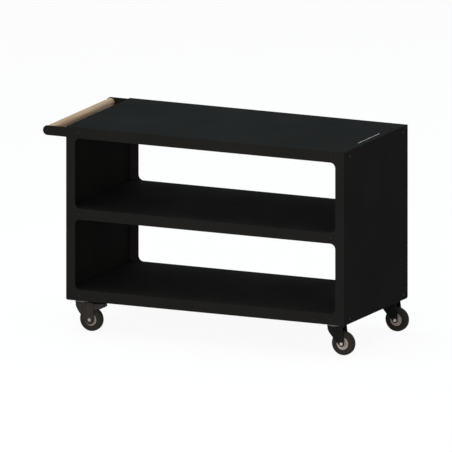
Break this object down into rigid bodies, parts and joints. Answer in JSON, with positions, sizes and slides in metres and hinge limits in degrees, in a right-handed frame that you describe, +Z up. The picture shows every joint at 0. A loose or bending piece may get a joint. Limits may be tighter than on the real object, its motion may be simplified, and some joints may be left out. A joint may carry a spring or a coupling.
{
  "type": "serving table on casters",
  "caption": "Serving table of black sheet steel, open through front and rear above and below a middle shelf, with a wooden push bar at one end and swivel casters with foot brakes.",
  "frame": {"origin": "on the floor, under the centre of the bounding box", "axes": "+X along the length, away from the handle; -Y to the front; +Z up"},
  "size_m": [1.104, 0.5006, 0.683],
  "materials": {
    "black_powder_coat": "satin, finely textured black powder coat",
    "black_screw": "black button-head screw",
    "black_fork": "black coated pressed steel",
    "zinc_steel": "dull zinc plate",
    "oiled_wood": "light oiled hardwood, turned",
    "brass_insert": "plain brass",
    "grey_hub": "moulded light grey plastic",
    "black_rubber": "matt black rubber"
  },
  "bodies": {
    "carcass": {"front_frame": "black_powder_coat", "rear_frame": "black_powder_coat", "left_panel": "black_powder_coat", "right_panel": "black_powder_coat", "worktop": "black_powder_coat", "middle_shelf": "black_powder_coat", "bottom_shelf": "black_powder_coat", "left_caster_rail": "black_powder_coat", "right_caster_rail": "black_powder_coat", "handle_bar": "oiled_wood", "handle_inserts": "brass_insert", "frame_screws": "black_screw", "panel_screws": "black_screw", "handle_screws": "black_screw", "caster_bolts": "zinc_steel", "caster_nuts": "zinc_steel", "front_left_caster_plate": "zinc_steel", "front_left_thrust_washer": "zinc_steel", "front_left_kingpin": "zinc_steel", "front_right_caster_plate": "zinc_steel", "front_right_thrust_washer": "zinc_steel", "front_right_kingpin": "zinc_steel", "rear_left_caster_plate": "zinc_steel", "rear_left_thrust_washer": "zinc_steel", "rear_left_kingpin": "zinc_steel", "rear_right_caster_plate": "zinc_steel", "rear_right_thrust_washer": "zinc_steel", "rear_right_kingpin": "zinc_steel"},
    "front_left_swivel": {"front_left_fork": "black_fork", "front_left_axle": "zinc_steel", "front_left_axle_sleeve": "zinc_steel", "front_left_brake_pin": "black_fork"},
    "front_left_wheel": {"front_left_hub": "grey_hub", "front_left_tyre": "black_rubber"},
    "front_left_brake": {"front_left_brake_pedal": "black_fork", "front_left_brake_shoe": "black_rubber"},
    "front_right_swivel": {"front_right_fork": "black_fork", "front_right_axle": "zinc_steel", "front_right_axle_sleeve": "zinc_steel"},
    "front_right_wheel": {"front_right_hub": "grey_hub", "front_right_tyre": "black_rubber"},
    "rear_left_swivel": {"rear_left_fork": "black_fork", "rear_left_axle": "zinc_steel", "rear_left_axle_sleeve": "zinc_steel", "rear_left_brake_pin": "black_fork"},
    "rear_left_wheel": {"rear_left_hub": "grey_hub", "rear_left_tyre": "black_rubber"},
    "rear_left_brake": {"rear_left_brake_pedal": "black_fork", "rear_left_brake_shoe": "black_rubber"},
    "rear_right_swivel": {"rear_right_fork": "black_fork", "rear_right_axle": "zinc_steel", "rear_right_axle_sleeve": "zinc_steel"},
    "rear_right_wheel": {"rear_right_hub": "grey_hub", "rear_right_tyre": "black_rubber"}
  },
  "joints": [
    {"name": "front_left_swivel", "type": "hinge", "parent": "carcass", "child": "front_left_swivel", "pos_m": [-0.4215, -0.2075, 0.105], "axis": [0, 0, 1], "continuous": true},
    {"name": "front_left_roll", "type": "hinge", "parent": "front_left_swivel", "child": "front_left_wheel", "pos_m": [-0.394, -0.2075, 0.04], "axis": [0, 1, 0], "continuous": true},
    {"name": "front_left_brake", "type": "hinge", "parent": "front_left_swivel", "child": "front_left_brake", "pos_m": [-0.388, -0.2075, 0.085], "axis": [0, 1, 0], "range_deg": [0, 12]},
    {"name": "front_right_swivel", "type": "hinge", "parent": "carcass", "child": "front_right_swivel", "pos_m": [0.4845, -0.2075, 0.105], "axis": [0, 0, 1], "continuous": true},
    {"name": "front_right_roll", "type": "hinge", "parent": "front_right_swivel", "child": "front_right_wheel", "pos_m": [0.512, -0.2075, 0.04], "axis": [0, 1, 0], "continuous": true},
    {"name": "rear_left_swivel", "type": "hinge", "parent": "carcass", "child": "rear_left_swivel", "pos_m": [-0.4215, 0.2075, 0.105], "axis": [0, 0, 1], "continuous": true},
    {"name": "rear_left_roll", "type": "hinge", "parent": "rear_left_swivel", "child": "rear_left_wheel", "pos_m": [-0.394, 0.2075, 0.04], "axis": [0, 1, 0], "continuous": true},
    {"name": "rear_left_brake", "type": "hinge", "parent": "rear_left_swivel", "child": "rear_left_brake", "pos_m": [-0.388, 0.2075, 0.085], "axis": [0, 1, 0], "range_deg": [0, 12]},
    {"name": "rear_right_swivel", "type": "hinge", "parent": "carcass", "child": "rear_right_swivel", "pos_m": [0.4845, 0.2075, 0.105], "axis": [0, 0, 1], "continuous": true},
    {"name": "rear_right_roll", "type": "hinge", "parent": "rear_right_swivel", "child": "rear_right_wheel", "pos_m": [0.512, 0.2075, 0.04], "axis": [0, 1, 0], "continuous": true}
  ]
}
